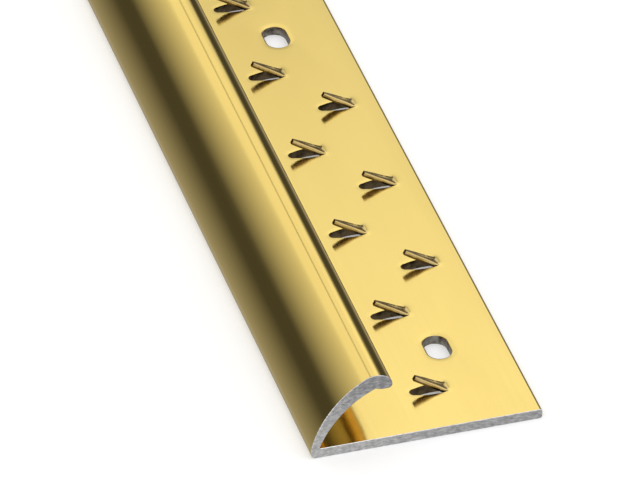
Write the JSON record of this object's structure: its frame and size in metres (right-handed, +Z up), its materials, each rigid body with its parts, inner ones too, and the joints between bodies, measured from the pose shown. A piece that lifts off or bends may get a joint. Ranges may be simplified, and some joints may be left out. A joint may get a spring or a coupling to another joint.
{
  "type": "threshold strip",
  "caption": "Gold-anodised aluminium carpet threshold bar with a flat pronged base, fixing slots and a curved nosing that taps down over the carpet edge.",
  "frame": {"origin": "middle of the underside", "axes": "+Y along the bar, +X from the nosing to the free edge, +Z up from the floor"},
  "size_m": [0.0324, 0.9, 0.012],
  "materials": {
    "gold_anodised_base": "polished and gold anodised, raw aluminium on the sawn ends",
    "gold_anodised_nosing": "polished and gold anodised, raw aluminium on the sawn ends",
    "lanced_prongs": "gold anodised with dull sheared edges"
  },
  "bodies": {
    "base": {"base_flange": "gold_anodised_base", "inner_prongs": "lanced_prongs", "outer_prongs": "lanced_prongs"},
    "nosing": {"nosing_lower_web": "gold_anodised_nosing", "nosing_upper_web": "gold_anodised_nosing", "nosing_lip": "gold_anodised_nosing"}
  },
  "joints": [
    {"name": "nosing_tap_down", "type": "hinge", "parent": "base", "child": "nosing", "pos_m": [-0.01505, 0, 0.0015], "axis": [0, 1, 0], "range_deg": [0, 30]}
  ]
}
